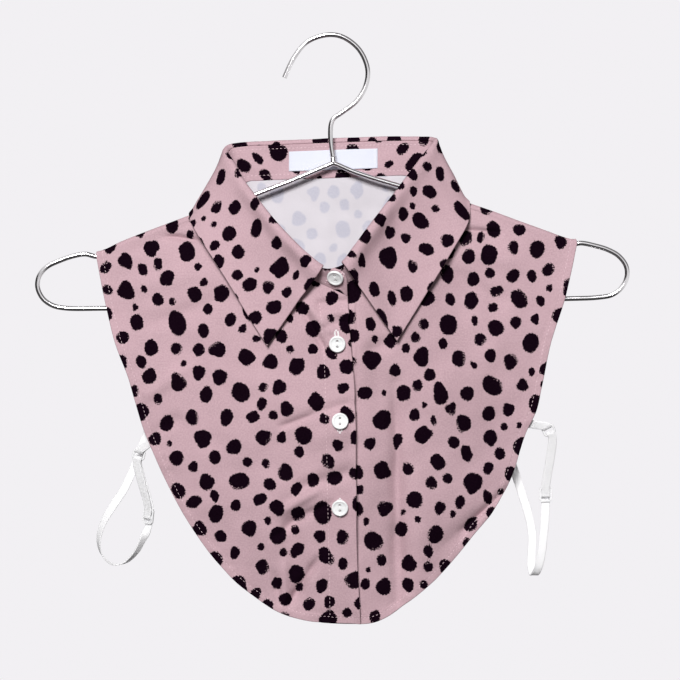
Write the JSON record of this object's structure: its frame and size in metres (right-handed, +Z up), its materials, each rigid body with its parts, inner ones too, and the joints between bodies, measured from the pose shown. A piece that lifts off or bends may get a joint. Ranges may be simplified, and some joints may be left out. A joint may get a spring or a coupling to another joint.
{
  "type": "detachable shirt collar on a wire hanger",
  "caption": "Buttoned detachable shirt collar with pointed leaf, short front and back bibs and side elastics, hung by its shoulders on a bent wire hanger.",
  "frame": {"origin": "inside top of the hanger's hook, in the plane of the hanger", "axes": "+Z up, -Y towards the front of the garment, +X towards the wearer's left"},
  "size_m": [0.4101, 0.0656, 0.4063],
  "materials": {
    "spotted_cloth": "thin dusty pink cotton with irregular black spots, matt, fine plain weave",
    "woven_label": "bare white woven label",
    "elastic": "narrow white ribbed elastic",
    "button_plastic": "white plastic, slightly glossy",
    "steel_wire": "bright bent steel wire"
  },
  "bodies": {
    "root": {"hanger_hook": "steel_wire", "hanger_frame": "steel_wire", "front_right": "spotted_cloth", "front_left": "spotted_cloth", "back_panel": "spotted_cloth", "collar_stand": "spotted_cloth", "collar_leaf": "spotted_cloth", "neck_label": "woven_label", "button_collar": "button_plastic", "button_front_1": "button_plastic", "button_front_2": "button_plastic", "button_front_3": "button_plastic", "tab_right": "elastic", "tab_left": "elastic", "ring_right": "button_plastic", "ring_left": "button_plastic", "slider_right": "button_plastic", "slider_left": "button_plastic", "strap_right": "elastic", "strap_left": "elastic"}
  },
  "joints": []
}
